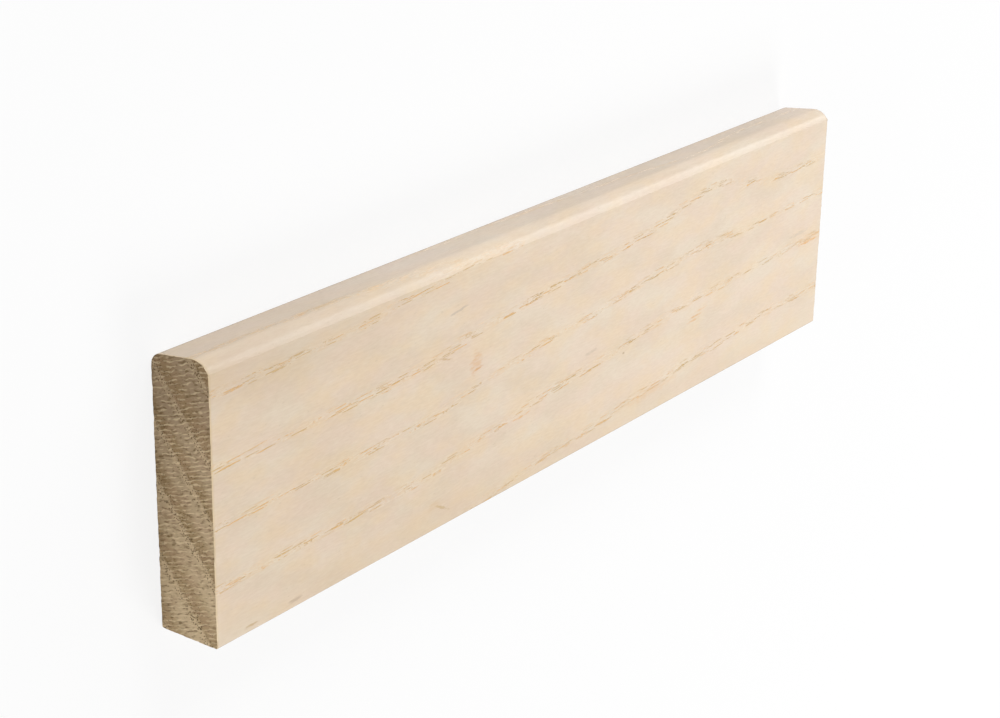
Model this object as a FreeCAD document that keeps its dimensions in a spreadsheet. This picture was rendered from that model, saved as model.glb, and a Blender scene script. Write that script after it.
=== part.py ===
import FreeCAD, Part
import Sketcher
import math
import os

from FreeCAD import Vector

# A short length of solid ash skirting board, planed to one profile along its whole length.
# It lies on its flat back: +X runs along the length, +Y from the floor edge to the rounded top
# edge, and +Z out of the show face. The origin is the centre of the back face.

SIZES = {
    "board_length": "240",
    "board_height": "60",
    "board_thickness": "15",
    "front_round": "4.5",
    "face_skim": "0.42",
    "back_round": "2.5",
    "top_fall_angle": "7",
    "arris_radius": "0.4",
}


def make_sheet(document):
    """The spreadsheet of driving sizes, in millimetres and degrees."""
    sheet = document.addObject("Spreadsheet::Sheet", "sizes")
    for row, (alias, value) in enumerate(SIZES.items(), start=1):
        sheet.set(f"A{row}", alias)
        sheet.set(f"B{row}", value)
        sheet.setAlias(f"B{row}", alias)
    document.recompute()
    return sheet


def origin_plane(body, role):
    """One of the body's own origin planes, found by its role."""
    return next(plane for plane in body.Origin.OriginFeatures if plane.Role == role)


def rim_point(centre, radius, degrees):
    """A point on a circle of the sketch, by its angle."""
    return centre + FreeCAD.Rotation(Vector(0, 0, 1), degrees).multVec(Vector(radius, 0, 0))


def rounded_corner(centre, radius, start, end):
    """An arc that runs anticlockwise between two angles."""
    angles = (start, (start + end) / 2, end)
    return Part.ArcOfCircle(*(rim_point(centre, radius, angle) for angle in angles))


def add_profile(body, sheet):
    """The moulding's section: four straight sides joined by four rounds.

    The show face is planed a skim deeper than the front round reaches. So the round meets it at a
    fine edge, while every other join is tangent.
    """
    crown = sheet.board_height / 2
    face = sheet.board_thickness
    fall = sheet.top_fall_angle
    front_round = sheet.front_round
    skim = sheet.face_skim
    back_round = sheet.back_round
    arris = sheet.arris_radius

    # The top edge falls from its crown towards the wall, so the back round sits a little lower.
    front_centre = Vector(crown - front_round, face - front_round + skim, 0)
    edge_angle = math.degrees(math.asin(1 - skim / front_round))
    fine_edge = rim_point(front_centre, front_round, edge_angle)
    top_front = rim_point(front_centre, front_round, -fall)
    slope = rim_point(Vector(), 1, 90 - fall)
    back_centre = top_front - slope * ((top_front.y - back_round) / slope.y)
    back_centre.x -= back_round
    face_arris_centre = Vector(arris - crown, face - arris, 0)
    back_arris_centre = Vector(arris - crown, arris, 0)

    sketch = body.newObject("Sketcher::SketchObject", "profile")
    sketch.AttachmentSupport = [(origin_plane(body, "YZ_Plane"), "")]
    sketch.MapMode = "FlatFace"
    outline = [
        Part.LineSegment(rim_point(back_arris_centre, arris, 270), rim_point(back_centre, back_round, 270)),
        rounded_corner(back_centre, back_round, -90, -fall),
        Part.LineSegment(rim_point(back_centre, back_round, -fall), top_front),
        rounded_corner(front_centre, front_round, -fall, edge_angle),
        Part.LineSegment(fine_edge, rim_point(face_arris_centre, arris, 90)),
        rounded_corner(face_arris_centre, arris, 90, 180),
        Part.LineSegment(rim_point(face_arris_centre, arris, 180), rim_point(back_arris_centre, arris, 180)),
        rounded_corner(back_arris_centre, arris, 180, 270),
    ]
    back, back_corner, top, front_corner, show, face_arris, floor, back_arris = sketch.addGeometry(outline)
    start, end, middle = 1, 2, 3
    x_axis = origin = -1

    loop = [back, back_corner, top, front_corner, show, face_arris, floor, back_arris]
    for side, following in zip(loop, loop[1:] + loop[:1]):
        join = "Coincident" if side == front_corner else "Tangent"
        sketch.addConstraint(Sketcher.Constraint(join, side, end, following, start))
    sketch.addConstraint(Sketcher.Constraint("PointOnObject", back, start, x_axis))
    sketch.addConstraint(Sketcher.Constraint("Horizontal", back))
    sketch.addConstraint(Sketcher.Constraint("Horizontal", show))
    sketch.addConstraint(Sketcher.Constraint("Vertical", floor))

    driven = {
        "thickness": (("DistanceY", origin, start, show, start, face), "sizes.board_thickness"),
        "floor_edge": (("DistanceX", floor, start, origin, start, crown), "sizes.board_height / 2"),
        "crown_place": (
            ("DistanceX", origin, start, front_corner, middle, crown - front_round),
            "sizes.board_height / 2 - sizes.front_round",
        ),
        "round_depth": (
            ("DistanceY", origin, start, front_corner, middle, face - front_round + skim),
            "sizes.board_thickness - sizes.front_round + sizes.face_skim",
        ),
        "front_round": (("Radius", front_corner, front_round), "sizes.front_round"),
        "back_round": (("Radius", back_corner, back_round), "sizes.back_round"),
        "top_slope": (
            ("Angle", x_axis, start, top, start, math.radians(90 - fall)),
            "(90 - sizes.top_fall_angle) * 1 deg",
        ),
        "face_arris": (("Radius", face_arris, arris), "sizes.arris_radius"),
        "back_arris": (("Radius", back_arris, arris), "sizes.arris_radius"),
    }
    for name, (constraint, expression) in driven.items():
        index = sketch.addConstraint(Sketcher.Constraint(*constraint))
        sketch.renameConstraint(index, name)
        sketch.setExpression(f"Constraints.{name}", expression)
    return sketch


def add_length(body, profile):
    """The profile run along the length, half to each side of the middle."""
    pad = body.newObject("PartDesign::Pad", "planed_length")
    pad.Profile = profile
    pad.Midplane = True
    pad.setExpression("Length", "sizes.board_length")
    body.Tip = pad


def skirting_board(document, sheet):
    """The board itself, one piece of planed stock."""
    body = document.addObject("PartDesign::Body", "skirting_board")
    body.Label = "skirting_board"
    profile = add_profile(body, sheet)
    document.recompute()
    if not profile.FullyConstrained:
        raise RuntimeError("the profile is not held by its sizes")
    add_length(body, profile)
    return body


def check(document, pieces):
    """Stops before anything is written if an object failed or a piece has no sound shape."""
    for item in document.Objects:
        if {"Invalid", "Error"} & set(item.State):
            raise RuntimeError(f"{item.Label} failed to build: {item.State}")
    for piece in pieces:
        if piece.Shape.isNull() or not piece.Shape.isValid():
            raise RuntimeError(f"{piece.Label} has no valid shape")


def main():
    document = FreeCAD.newDocument("skirting_board")
    pieces = [skirting_board(document, make_sheet(document))]
    document.recompute()
    check(document, pieces)
    os.makedirs("parts", exist_ok=True)
    for piece in pieces:
        piece.Shape.exportStep(f"parts/{piece.Label}.step")
        print(piece.Label, round(piece.Shape.Volume, 1), piece.Shape.BoundBox)


main()
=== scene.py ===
import bmesh
import bpy
import math
from mathutils import Matrix, Vector


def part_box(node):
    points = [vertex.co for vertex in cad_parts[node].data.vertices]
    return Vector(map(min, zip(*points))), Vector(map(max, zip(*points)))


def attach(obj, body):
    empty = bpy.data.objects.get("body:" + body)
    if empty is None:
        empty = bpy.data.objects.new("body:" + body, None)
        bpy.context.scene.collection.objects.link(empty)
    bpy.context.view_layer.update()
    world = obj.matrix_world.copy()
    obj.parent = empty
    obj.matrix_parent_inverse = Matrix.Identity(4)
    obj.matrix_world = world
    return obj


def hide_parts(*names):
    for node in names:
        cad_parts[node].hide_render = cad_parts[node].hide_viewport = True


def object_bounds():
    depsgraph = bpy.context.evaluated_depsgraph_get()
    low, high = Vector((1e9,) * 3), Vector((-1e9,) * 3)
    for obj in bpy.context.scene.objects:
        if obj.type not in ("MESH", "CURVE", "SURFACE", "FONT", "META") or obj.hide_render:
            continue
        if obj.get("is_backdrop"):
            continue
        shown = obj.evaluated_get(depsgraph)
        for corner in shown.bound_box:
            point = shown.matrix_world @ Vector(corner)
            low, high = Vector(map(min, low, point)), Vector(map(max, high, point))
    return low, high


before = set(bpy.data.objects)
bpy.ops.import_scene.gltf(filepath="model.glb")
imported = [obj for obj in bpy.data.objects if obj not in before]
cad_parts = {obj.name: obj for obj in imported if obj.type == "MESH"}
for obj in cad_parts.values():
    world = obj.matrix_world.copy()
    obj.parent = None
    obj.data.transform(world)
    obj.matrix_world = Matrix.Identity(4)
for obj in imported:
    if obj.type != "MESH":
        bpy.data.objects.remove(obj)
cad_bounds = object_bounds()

# A short length of solid ash skirting board, white-tinted and lacquered, with bare sawn ends.
# It lies on its back on a pale floor. +X runs along the grain, +Y from the floor edge to the
# rounded top edge, +Z out of the show face.

MM = 0.001
LOW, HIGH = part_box("skirting_board")

# The planed profile, in metres and radians, as in the solid.
FRONT_ROUND = 4.5 * MM
FACE_SKIM = 0.42 * MM
BACK_ROUND = 2.5 * MM
TOP_FALL = math.radians(7)
ARRIS = 0.4 * MM

# How finely the surface is divided: steps round the edges, height of the rows, cuts across the
# grain, which are made in two rounds, and extra cuts at these distances from the ends.
FRONT_STEPS = 14
BACK_STEPS = 8
ARRIS_STEPS = 5
ROW = 0.6 * MM
COLUMN_CUTS = (59, 1)
END_CUTS = (0.2 * MM, 0.5 * MM, 1 * MM)

# The deepest planing wave, saw mark and chip at the ends' rims.
PLANING_DEPTH = 0.05 * MM
SAWING_DEPTH = 0.12 * MM
CHIP_DEPTH = 0.5 * MM

# Edges and vertices no further than this from a place are at it, and vertices no further than the
# reach from an end are in it.
CLOSE = 0.1 * MM
END_REACH = 0.05 * MM

# Steeper edges than this stay crisp, as where the front round meets the show face.
CRISP_ANGLE = math.radians(21)

# The growth rings, all in millimetres. Each ring starts at one of these heights on the show face
# at the near end, and climbs along the board as the curve says. The rings rise by their lean with
# every millimetre into the board, and the pores by theirs with every millimetre along it.
RING_STARTS = (-43, -31, -18.5, -4.3, 11.7, 24.9, 37, 52.3, 65, 76)
RING_CLIMB = (
    (0, 0), (34, 0.6), (61, 0.8), (79, 2.8), (94, 4.5), (109, 6.3), (133, 7.8),
    (145, 8.9), (163, 10.8), (180, 11.8), (204, 11.3), (222, 11.8), (240, 12.2),
)
RING_LEAN = 1.27
PORE_LEAN = 0.055

# Length and width of the cells that hold one pore each, on the faces and on the sawn ends.
FACE_PORES = (8, 0.3)
END_PORES = (15, 0.42)

# The rays of the sawn ends: how far they lean from level, and their spacing in millimetres.
RAY_LEAN = math.radians(18)
RAY_SPACING = 0.95

# How deep the finest grain is, in the lacquer and in the bare wood.
LACQUER_RELIEF = 0.06 * MM
SAWN_RELIEF = 0.1 * MM

# Marks in the wood of the show face: place along and height, half length and half height, how
# steeply they rise, strength and colour.
MARKS = (
    (83.5, 35.2, 2.2, 2.6, 0.2, 0.5, (226, 180, 130)),
    (84.5, 33.6, 2, 0.4, 0.15, 0.7, (218, 164, 108)),
    (72.5, 39.1, 2.8, 0.3, -0.28, 0.6, (204, 168, 116)),
    (100.5, 16.6, 4, 0.3, 0.06, 0.6, (232, 176, 100)),
    (77, 48.9, 3.6, 0.35, 0.13, 0.5, (190, 172, 156)),
    (10, 1.4, 2.4, 0.3, 0.03, 0.6, (196, 160, 104)),
    (23, 1.6, 2, 0.7, 0.1, 0.4, (180, 154, 126)),
    (71.5, 4.6, 3, 0.4, -0.5, 0.5, (200, 168, 112)),
    (69, 6, 2.4, 1.3, 0, 0.25, (220, 184, 130)),
    (128.5, 24, 2.6, 0.6, 0.1, 0.4, (196, 176, 150)),
    (143, 19.6, 0.6, 0.35, 0, 0.6, (168, 132, 92)),
    (174.5, 18.8, 3, 0.35, 0.05, 0.6, (228, 180, 124)),
    (176.5, 19.8, 3.5, 0.3, 0.05, 0.7, (226, 176, 116)),
    (178.5, 20.9, 2.6, 0.3, 0.05, 0.5, (230, 184, 132)),
    (156, 5.6, 12, 1.4, 0.05, 0.3, (230, 188, 136)),
    (227, 28.6, 5.5, 0.6, 0.05, 0.45, (200, 184, 164)),
    (233.5, 25, 6, 0.35, 0.02, 0.9, (228, 170, 92)),
    (235, 26.1, 5, 1.1, 0, 0.4, (238, 198, 148)),
)

# The floor: its width, how pale it is, and how much of it is a plain glow to the camera and in mirror
# images. The glow is white to the camera, and this grey in mirror images.
FLOOR_WIDTH = 8
FLOOR_GREY = 0.9
GLOW_SHARE = 0.85
MIRRORED_GREY = 0.17
WHITE = (1, 1, 1, 1)

# Light of the even sky, and the soft square lamps: the way to each from the board, its distance and
# width in metres, and its power. The window stands past the rounded edge, the shine and the far
# lamp past the far end, the front lamp past the floor edge, and the near lamp off the near end.
SKY_LIGHT = 0.26
LAMPS = {
    "window": ((0.1, 0.85, 0.45), 1.3, 0.5, 8.5),
    "shine": ((0.77, 0.5, 0.4), 1.3, 0.7, 3.8),
    "far": ((0.87, -0.25, 0.42), 1.1, 0.5, 0.7),
    "front": ((0.3, -0.7, 0.6), 1.3, 0.6, 10.8),
    "near": ((-1, -0.02, 0.14), 1.3, 0.32, 4.4),
}

# The camera stands off the rounded top edge and the near end, and looks down on the show face.
CAMERA_PLACE = Vector((-394.8, 178.8, 281.5)) * MM
CAMERA_VIEW = Vector((0.7546, -0.3609, -0.548))
CAMERA_ROLL = math.radians(1.1)
CAMERA_LENS = 78.98
CAMERA_SENSOR = 36
CAMERA_NEAREST = 0.01


def srgb(red, green, blue):
    """A colour written as it looks on screen, from 0 to 255, as the linear colour of shaders."""
    def linear(level):
        level /= 255
        return level / 12.92 if level <= 0.04045 else ((level + 0.055) / 1.055) ** 2.4
    return (linear(red), linear(green), linear(blue), 1)


class Value:
    """A socket of a shader node. Sums on it add Math nodes."""

    def __init__(self, shader, socket):
        self.shader = shader
        self.socket = socket

    def math(self, operation, *others):
        return self.shader.math(operation, self, *others)

    def __add__(self, other):
        return self.math("ADD", other)

    def __sub__(self, other):
        return self.math("SUBTRACT", other)

    def __rsub__(self, other):
        return self.shader.math("SUBTRACT", other, self)

    def __mul__(self, other):
        return self.math("MULTIPLY", other)

    def __truediv__(self, other):
        return self.math("DIVIDE", other)

    __radd__ = __add__
    __rmul__ = __mul__


class Shader:
    """A material, or the sky, whose nodes are added one call at a time."""

    def __init__(self, name, tree=None):
        if not tree:
            self.material = bpy.data.materials.new(name)
            self.material.use_nodes = True
            tree = self.material.node_tree
        self.tree = tree
        self.tree.nodes.clear()

    def node(self, kind, settings=None, inputs=None, output=0):
        """Adds a node with its settings and the values or links of its sockets."""
        made = self.tree.nodes.new(kind)
        for name, value in (settings or {}).items():
            if name == "points":
                curve = made.mapping.curves[0]
                curve.points[0].location = value[0]
                curve.points[1].location = value[-1]
                for point in value[1:-1]:
                    curve.points.new(*point)
                made.mapping.update()
            else:
                setattr(made, name, value)
        for name, value in (inputs or {}).items():
            if isinstance(value, Value):
                self.tree.links.new(value.socket, made.inputs[name])
            else:
                made.inputs[name].default_value = value
        return Value(self, made.outputs[output]) if made.outputs else made

    def math(self, operation, *values):
        return self.node("ShaderNodeMath", {"operation": operation}, dict(enumerate(values)))

    def vector(self, x, y, z):
        return self.node("ShaderNodeCombineXYZ", None, {0: x, 1: y, 2: z})

    def split(self, vector):
        inputs = {0: vector}
        return [self.node("ShaderNodeSeparateXYZ", None, inputs, output) for output in range(3)]

    def curve(self, value, points):
        """A smooth curve through points, in the units of the value and of the result."""
        low, high = points[0][0], points[-1][0]
        least = min(result for place, result in points)
        reach = max(result for place, result in points) - least
        scaled = [
            ((place - low) / (high - low), (result - least) / reach) for place, result in points
        ]
        share = (value - low) / (high - low)
        followed = self.node("ShaderNodeFloatCurve", {"points": scaled}, {"Value": share})
        return followed * reach + least

    def smooth(self, value, low, high):
        """0 at low and 1 at high, with a soft step between them and no change beyond."""
        return self.node(
            "ShaderNodeMapRange",
            {"interpolation_type": "SMOOTHSTEP"},
            {"Value": value, "From Min": low, "From Max": high},
        )

    def fade(self, value, low, high):
        """1 at low and 0 at high, with a soft step between them and no change beyond."""
        return 1 - self.smooth(value, low, high)

    def noise(self, vector, detail=2, roughness=0.5):
        """Soft noise from 0 to 1, mostly near 0.5, with cells one unit wide."""
        inputs = {"Vector": vector, "Scale": 1, "Detail": detail, "Roughness": roughness}
        return self.node("ShaderNodeTexNoise", None, inputs)

    def cells(self, vector):
        """Distance to the nearest cell's middle, a random number for that cell, and its middle."""
        inputs = {"Vector": vector, "Scale": 1}
        distance, colour, place = (
            self.node("ShaderNodeTexVoronoi", None, inputs, output)
            for output in ("Distance", "Color", "Position")
        )
        return distance, self.node("ShaderNodeSeparateColor", None, {0: colour}), place

    def mix(self, factor, first, second):
        """One colour laid over another by a factor."""
        settings = {"data_type": "RGBA"}
        return self.node("ShaderNodeMix", settings, {0: factor, 6: first, 7: second}, 2)

    def layers(self, tint, coats):
        """Colours laid over a tint one after another, each by its own factor."""
        for factor, colour in coats:
            tint = self.mix(factor, tint, srgb(*colour))
        return tint

    def finish(self, colour, roughness, height, relief, specular):
        """The surface itself: a principled shader with its relief."""
        bump = {"Height": height, "Distance": relief, "Strength": 1}
        surface = self.node("ShaderNodeBsdfPrincipled", None, {
            "Base Color": colour,
            "Roughness": roughness,
            "Normal": self.node("ShaderNodeBump", None, bump),
            "Specular IOR Level": specular,
        })
        self.node("ShaderNodeOutputMaterial", None, {"Surface": surface})
        return self.material


class Wood:
    """The tree inside the board: each point's place along the grain and among the growth rings."""

    def __init__(self, shader, place=None):
        self.shader = shader
        if not place:
            x, y, z = shader.split(shader.node("ShaderNodeTexCoord", None, None, "Object"))
            place = ((x - LOW.x) / MM, (y - LOW.y) / MM, (HIGH.z - z) / MM)
        self.along, self.height, self.depth = place

        sway = self.field(26, 22) - 0.5
        tremble = self.field(5, 8) - 0.5
        level = self.height - shader.curve(self.along, RING_CLIMB) - sway * 1.2 - tremble * 0.8
        # The upper rings swell before the middle, and rise and then dip towards the far end. The
        # lower ones only rise there.
        swell = shader.smooth(self.along, 38, 60) * shader.fade(self.along, 80, 100) * 2
        wave = shader.smooth(self.along, 153, 181) * 2.3 - shader.smooth(self.along, 185, 215) * 4.8
        level = level - shader.smooth(self.height, 36, 50) * (swell + wave)
        rise = shader.smooth(self.along, 182, 205) * 2
        level = level - shader.fade(self.height, 18, 38) * rise

        starts = [(start, year) for year, start in enumerate(RING_STARTS)]
        years = shader.curve(level - self.depth * RING_LEAN, starts)
        self.year = years.math("FLOOR")
        self.season = years.math("FRACT")
        self.early = shader.smooth(self.season, 0, 0.01) * shader.fade(self.season, 0.1, 0.19)

    def field(self, length, width, detail=2, roughness=0.5):
        """Noise in patches of this length along the board and this width across it."""
        place = (self.along / length, self.height / width, self.depth / width)
        return self.shader.noise(self.shader.vector(*place), detail, roughness)

    def tubes(self, length, width):
        """Pores drawn out along the grain, which rise a little along the board.

        Gives the distance from the nearest pore's middle in cell lengths or widths, a random number
        for that pore, and the wood at its middle.
        """
        tilt = math.atan(RING_LEAN)
        level = self.height - self.along * PORE_LEAN
        across = level * math.cos(tilt) - self.depth * math.sin(tilt)
        around = level * math.sin(tilt) + self.depth * math.cos(tilt)
        grid = self.shader.vector(self.along / length, across / width, around / width)
        distance, luck, middle = self.shader.cells(grid)
        along, across, around = self.shader.split(middle)
        along *= length
        across *= width
        around *= width
        height = across * math.cos(tilt) + around * math.sin(tilt) + along * PORE_LEAN
        depth = around * math.cos(tilt) - across * math.sin(tilt)
        return distance, luck, Wood(self.shader, (along, height, depth))


def pore_lines(shader, wood, crumble, crown, near):
    """Strands of pores along each ring, the pale highlight painted round them, and the tint of each
    pore.

    They are fuller near the near end, and faded on the rounded edge away from it, as a painted
    highlight that washes them out there.
    """
    distance, luck, pore = wood.tubes(*FACE_PORES)
    reach = distance + crumble * 0.8 + pore.season * 0.4 - near * 0.05
    pores = shader.fade(reach, 0.3, 0.37)
    breaks = shader.noise(shader.vector(pore.along / 6, pore.year * 7.3, 0))
    shown = pore.early * shader.smooth(breaks + near * 0.08, 0.25, 0.33)
    # Painted highlight: a pale ring round each pore, standing in for the light its sunk relief would
    # catch.
    painted_pore_highlights = (shader.fade(reach, 0.42, 0.6) - pores) * shown
    # Painted highlight: the pore lines fade on the rounded edge away from the near end, as if washed
    # out by the light there.
    lines = pores * shown * (1 - crown * (1 - near) * 0.8)
    tint = shader.mix(shader.smooth(luck, 0.45, 0.6), srgb(208, 167, 94), srgb(230, 173, 86))
    return lines, painted_pore_highlights, tint


def single_marks(shader, wood):
    """The factor and colour of each mark: a ragged patch or stroke in the show face."""
    front = shader.fade(wood.depth, 1, 4)
    ragged = (wood.field(2.2, 0.7, 3) - 0.5) * 4
    for along, height, length, width, rise, strength, colour in MARKS:
        over = (wood.along - along) / length
        up = (wood.height - height - (wood.along - along) * rise) / width
        mark = shader.fade(over * over + up * up + ragged, -0.2, 1.3) * front
        yield mark * strength, colour


def lacquered_ash():
    """White-tinted satin lacquer over ash: broken pore lines along each ring, and faint stains."""
    shader = Shader("lacquered_ash")
    wood = Wood(shader)
    crown = shader.smooth(wood.height, 57, 59)
    near = shader.fade(wood.along, 20, 75)
    crumble = wood.field(1.1, 0.38) - 0.5
    lines, painted_pore_highlights, pore_tint = pore_lines(shader, wood, crumble, crown, near)
    stains = wood.early * shader.smooth(wood.field(8, 3) + crumble, 0.48, 0.66)
    flecks = shader.smooth(wood.field(1.8, 0.5), 0.68, 0.76)
    fibres = wood.field(2.2, 0.42, 3, 0.6)
    clouds = shader.smooth(wood.field(22, 9), 0.36, 0.64)
    warmth = shader.smooth(wood.field(12, 6, 3), 0.4, 0.7)
    blush = shader.smooth(wood.field(15, 7, 3), 0.35, 0.65)

    tint = shader.mix(clouds * 0.6, srgb(232, 215, 192), srgb(223, 201, 175))
    tint = shader.layers(tint, (
        (blush * 0.45, (236, 210, 189)),
        (warmth * 0.5, (237, 211, 173)),
        # Painted sheen: a whitish veil on the rounded edge, stronger on the sloped top behind it,
        # standing in for the lacquer's reflection of the light.
        (crown * (shader.smooth(wood.depth, 1, 9) * 0.25 + 0.12), (236, 228, 222)),
        (shader.fade(fibres, 0.25, 0.55) * 0.12, (200, 176, 146)),
        (shader.smooth(fibres, 0.45, 0.75) * 0.12, (255, 244, 226)),
        (flecks * 0.3, (205, 184, 156)),
        (stains * (crown * near * 0.5 + 0.35), (234, 202, 158)),
        # Painted highlight: the pale ring round each pore.
        (painted_pore_highlights * 0.3, (250, 236, 214)),
    ))
    tint = shader.mix(lines * 0.8, tint, pore_tint)
    # A little darker along the floor edge and at the sawn rim. Below the rounded edge near the
    # near end it is darker too, partly the wood's own tone and partly painted shade.
    tint = shader.layers(tint, (
        (shader.fade(wood.height, 2, 9) * 0.2, (224, 199, 163)),
        (shader.fade(wood.along, 0.2, 0.8) * 0.5, (224, 198, 146)),
        # Partly painted shade: the face and rounded edge near the near end are darkened.
        (shader.smooth(wood.height, 45, 55) * near * 0.3, (206, 184, 156)),
    ))
    tint = shader.layers(tint, single_marks(shader, wood))
    height = fibres * 0.25 + crumble * wood.early * 0.5 - lines * 0.6 - flecks * 0.2
    roughness = 0.2 + lines * 0.2 + fibres * 0.08
    return shader.finish(tint, roughness, height, LACQUER_RELIEF, specular=0.5)


def sawn_end():
    """Bare end grain: pale dotted ring bands, rays across them and brown late wood between."""
    shader = Shader("sawn_end")
    wood = Wood(shader)
    with_ray = wood.height * math.sin(RAY_LEAN) - wood.depth * math.cos(RAY_LEAN)
    over_ray = wood.height * math.cos(RAY_LEAN) + wood.depth * math.sin(RAY_LEAN)

    def streaks(length, width, place, detail=2):
        """Noise drawn out along the rays."""
        return shader.noise(shader.vector(with_ray / length, over_ray / width, place), detail)

    distance, _, pore = wood.tubes(*END_PORES)
    pores = shader.fade(distance + pore.season * 0.5, 0.3, 0.42)
    waver = streaks(2.4, 1.6, 0) * 1.5
    ray = ((over_ray + waver) * (math.tau / RAY_SPACING)).math("SINE")
    rays = shader.smooth(ray, 0.1, 0.9) * shader.smooth(streaks(1.8, 0.7, 3), 0.36, 0.6)
    smears = shader.smooth(streaks(1.6, 0.6, 9, 3), 0.5, 0.68)
    blots = shader.smooth(streaks(3, 1.8, 15, 3), 0.55, 0.7)
    blush = shader.smooth(wood.field(9, 4, 3), 0.45, 0.65)
    late = shader.smooth(wood.season, 0.12, 0.2) * shader.fade(wood.season, 0.35, 0.75)
    speckle = shader.noise(shader.vector(wood.depth / 0.25, wood.height / 0.22, wood.along / 0.3))

    tint = shader.mix(shader.smooth(wood.height, 2, 60), srgb(200, 177, 142), srgb(162, 140, 112))
    tint = shader.layers(tint, (
        (late * 0.55, (140, 112, 68)),
        (smears * 0.75, (106, 84, 52)),
        (blots * 0.5, (120, 96, 62)),
        (blush * 0.25, (178, 146, 120)),
        (wood.early * 0.35, (208, 184, 146)),
        (rays * 0.65, (224, 202, 164)),
        (shader.smooth(speckle, 0.6, 0.8) * 0.5, (220, 198, 160)),
        (shader.smooth(wood.height, 42, 49) * 0.2, (112, 92, 68)),
        (pores * 0.85, (92, 68, 38)),
    ))
    height = rays * 0.6 + speckle * 0.5 - pores - smears * 0.4
    return shader.finish(tint, 0.85, height, SAWN_RELIEF, specular=0.25)


def select(board, kind, wanted):
    """Selects the vertices, edges or faces of the mesh in edit mode that pass a test."""
    modes = {"verts": "VERT", "edges": "EDGE", "faces": "FACE"}
    bpy.ops.mesh.select_mode(type=modes[kind])
    bpy.ops.mesh.select_all(action="DESELECT")
    mesh = bmesh.from_edit_mesh(board.data)
    for item in getattr(mesh, kind):
        if wanted(item):
            item.select_set(True)
    mesh.select_flush_mode()
    bmesh.update_edit_mesh(board.data)


def runs_along(edge):
    """Whether an edge runs with the grain."""
    way = edge.verts[1].co - edge.verts[0].co
    return abs(way.x) > 0.99 * way.length


def round_edge(board, y, z, radius, corner, steps):
    """Rounds the long edge at a place in the section, where the corner has this inside angle."""
    def at_corner(edge):
        middle = (edge.verts[0].co + edge.verts[1].co) / 2
        return runs_along(edge) and (middle.yz - Vector((y, z))).length < CLOSE

    select(board, "edges", at_corner)
    setback = radius / math.tan(corner / 2)
    bpy.ops.mesh.bevel(offset=setback, segments=steps, profile=0.5, affect="EDGES")


def cut(place, normal, **options):
    """Cuts the whole mesh by a plane."""
    bpy.ops.mesh.select_all(action="SELECT")
    bpy.ops.mesh.bisect(plane_co=place, plane_no=normal, **options)


def cut_rows(normal, low, high, spacing):
    """Cuts the mesh by evenly spaced planes, so that its faces become narrow rows."""
    count = round((high - low) / spacing)
    for row in range(1, count):
        cut(Vector(normal) * (low + (high - low) * row / count), normal)


def planed_board():
    """The board as planed: a blank with a sloped and rounded top edge, skimmed on its face."""
    size = HIGH - LOW
    blank = size + Vector((0, 0, FACE_SKIM))
    bpy.ops.object.select_all(action="DESELECT")
    bpy.ops.mesh.primitive_cube_add(size=1, location=(0, 0, LOW.z + blank.z / 2), scale=blank)
    board = bpy.context.object
    board.name = "ash_board"
    bpy.ops.object.transform_apply(location=True, rotation=True, scale=True)
    bpy.ops.object.mode_set(mode="EDIT")

    # The slope starts this much above the crown, so that the front round's crown is at full height.
    front_top = HIGH.y + FRONT_ROUND * ((1 + math.sin(TOP_FALL)) / math.cos(TOP_FALL) - 1)
    back_top = front_top - blank.z * math.tan(TOP_FALL)
    for z, top in ((LOW.z + blank.z, front_top), (LOW.z, back_top)):
        select(board, "verts", lambda vert: vert.co.y > 0 and abs(vert.co.z - z) < CLOSE)
        bpy.ops.transform.translate(value=(0, top - HIGH.y, 0))
    square = math.pi / 2
    round_edge(board, front_top, LOW.z + blank.z, FRONT_ROUND, square - TOP_FALL, FRONT_STEPS)
    cut((0, 0, HIGH.z), (0, 0, 1), clear_outer=True, use_fill=True)
    round_edge(board, back_top, LOW.z, BACK_ROUND, square + TOP_FALL, BACK_STEPS)
    round_edge(board, LOW.y, HIGH.z, ARRIS, square, ARRIS_STEPS)
    round_edge(board, LOW.y, LOW.z, ARRIS, square, ARRIS_STEPS)

    cut_rows((0, 1, 0), LOW.y, HIGH.y, ROW)
    cut_rows((0, 0, 1), LOW.z, HIGH.z, ROW)
    for cuts in COLUMN_CUTS:
        select(board, "edges", runs_along)
        bpy.ops.mesh.subdivide(number_cuts=cuts)
    for inset in END_CUTS:
        cut((HIGH.x - inset, 0, 0), (1, 0, 0))
        cut((LOW.x + inset, 0, 0), (1, 0, 0))
    bpy.ops.object.mode_set(mode="OBJECT")
    return board


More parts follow.
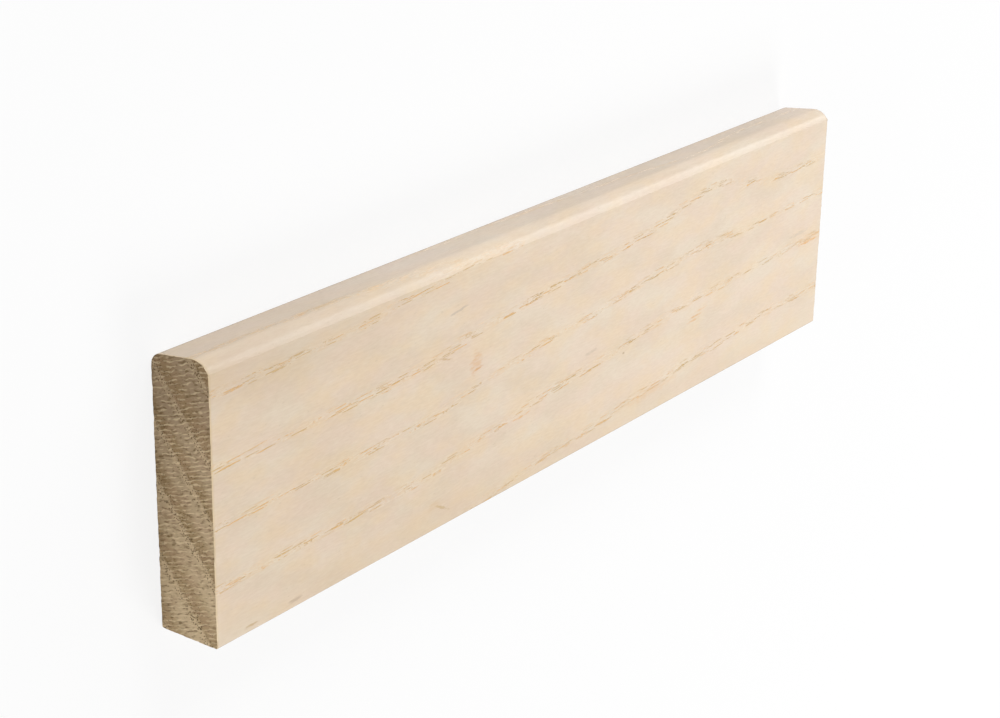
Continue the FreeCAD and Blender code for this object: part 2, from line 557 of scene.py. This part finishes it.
def wear(board, name, patch, depth, levels, group=None):
    """Sinks the surface where a soft noise is low, by at most this depth.

    The noise has patches of this size in millimetres. The surface sinks fully below the first level
    and not at all above the second. With a group, only the vertices that pass its test sink.
    """
    if group:
        bpy.ops.object.mode_set(mode="EDIT")
        select(board, "verts", group)
        bpy.ops.object.vertex_group_add()
        board.vertex_groups[-1].name = name
        bpy.ops.object.vertex_group_assign()
        bpy.ops.object.mode_set(mode="OBJECT")
    texture = bpy.data.textures.new(name, "CLOUDS")
    texture.noise_scale = 1
    texture.use_color_ramp = True
    for stop, place, shade in zip(texture.color_ramp.elements, levels, (0, 1)):
        stop.position = place
        stop.color = (shade, shade, shade, 1)
    guide = bpy.data.objects.new(name, None)
    guide.scale = Vector(patch) * MM
    bpy.context.scene.collection.objects.link(guide)
    bpy.context.view_layer.update()
    bpy.ops.object.modifier_add(type="DISPLACE")
    relief = board.modifiers[-1]
    relief.texture = texture
    relief.texture_coords = "OBJECT"
    relief.texture_coords_object = guide
    relief.mid_level = 1
    relief.strength = depth
    if group:
        relief.vertex_group = name
    bpy.ops.object.modifier_apply(modifier=relief.name)
    bpy.data.objects.remove(guide)


def at_end(vert):
    """Whether a vertex lies in one of the sawn ends."""
    return min(abs(vert.co.x - LOW.x), abs(vert.co.x - HIGH.x)) < END_REACH


def at_rim(vert):
    """Whether a vertex lies where a sawn end meets the planed faces."""
    return at_end(vert) and any(abs(face.normal.x) < 0.5 for face in vert.link_faces)


def dress(board, finishes):
    """Gives the sawn ends their own finish and every other face the lacquer, and wears them all."""
    for material in finishes:
        board.data.materials.append(material)
    bpy.ops.object.mode_set(mode="EDIT")
    select(board, "faces", lambda face: all(at_end(vert) for vert in face.verts))
    board.active_material_index = 1
    bpy.ops.object.material_slot_assign()
    bpy.ops.object.mode_set(mode="OBJECT")
    wear(board, "planing", (45, 7, 7), PLANING_DEPTH, (0.2, 0.8))
    wear(board, "sawing", (0.9, 0.9, 0.9), SAWING_DEPTH, (0.2, 0.8), at_end)
    wear(board, "chipping", (1.6, 1.6, 1.6), CHIP_DEPTH, (0.2, 0.5), at_rim)
    bpy.ops.object.shade_smooth_by_angle(angle=CRISP_ANGLE)


def floor():
    """A wide pale floor. The camera sees it nearly white, with the board's soft shadow.

    Its mirror image is kept dim, so that it doesn't whiten the lacquer.
    """
    bpy.ops.object.select_all(action="DESELECT")
    bpy.ops.mesh.primitive_plane_add(size=FLOOR_WIDTH, location=(0, 0, LOW.z))
    ground = bpy.context.object
    ground.name = "floor"
    shader = Shader("floor")
    seen = shader.node("ShaderNodeLightPath", None, None, "Is Camera Ray")
    mirrored = shader.node("ShaderNodeLightPath", None, None, "Is Glossy Ray")
    pale = (FLOOR_GREY, FLOOR_GREY, FLOOR_GREY, 1)
    dim = (MIRRORED_GREY, MIRRORED_GREY, MIRRORED_GREY, 1)
    matt = shader.node("ShaderNodeBsdfDiffuse", None, {"Color": pale})
    glow = shader.mix(mirrored, WHITE, dim)
    plain = shader.node("ShaderNodeEmission", None, {"Color": glow, "Strength": 1})
    share = seen.math("MAXIMUM", mirrored) * GLOW_SHARE
    surface = shader.node("ShaderNodeMixShader", None, {0: share, 1: matt, 2: plain})
    shader.node("ShaderNodeOutputMaterial", None, {"Surface": surface})
    ground.data.materials.append(shader.material)
    ground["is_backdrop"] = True


def sky():
    """An even pale sky, which the camera sees as plain white."""
    world = bpy.data.worlds.new("studio")
    bpy.context.scene.world = world
    world.use_nodes = True
    shader = Shader("studio", world.node_tree)
    seen = shader.node("ShaderNodeLightPath", None, None, "Is Camera Ray")
    even = shader.node("ShaderNodeBackground", None, {"Color": WHITE, "Strength": SKY_LIGHT})
    plain = shader.node("ShaderNodeBackground", None, {"Color": WHITE, "Strength": 1})
    surface = shader.node("ShaderNodeMixShader", None, {0: seen, 1: even, 2: plain})
    shader.node("ShaderNodeOutputWorld", None, {"Surface": surface})


def lamps():
    """Square soft lamps that face the board and that the camera doesn't see."""
    for name, (way, distance, width, power) in LAMPS.items():
        data = bpy.data.lights.new(name, "AREA")
        data.size = width
        data.energy = power
        light = bpy.data.objects.new(name, data)
        light.location = Vector(way).normalized() * distance
        light.rotation_euler = Vector(way).to_track_quat("Z", "Y").to_euler()
        light.visible_camera = False
        bpy.context.scene.collection.objects.link(light)


def camera():
    """The camera, level with the board's height and then rolled a little."""
    data = bpy.data.cameras.new("camera")
    data.lens = CAMERA_LENS
    data.sensor_width = CAMERA_SENSOR
    data.clip_start = CAMERA_NEAREST
    eye = bpy.data.objects.new("camera", data)
    back = -CAMERA_VIEW.normalized()
    side = Vector((0, 1, 0)).cross(back).normalized()
    turn = Matrix((side, back.cross(side), back)).transposed()
    turn @= Matrix.Rotation(CAMERA_ROLL, 3, "Z")
    eye.matrix_world = Matrix.Translation(CAMERA_PLACE) @ turn.to_4x4()
    bpy.context.scene.collection.objects.link(eye)
    bpy.context.scene.camera = eye


def main():
    bpy.context.scene.view_settings.view_transform = "Standard"
    camera()
    sky()
    lamps()
    floor()
    board = planed_board()
    dress(board, (lacquered_ash(), sawn_end()))
    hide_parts("skirting_board")
    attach(board, "root")


main()
boxes = {"cad": cad_bounds, "visual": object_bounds()}
{name: [list(corner) for corner in box] for name, box in boxes.items()}
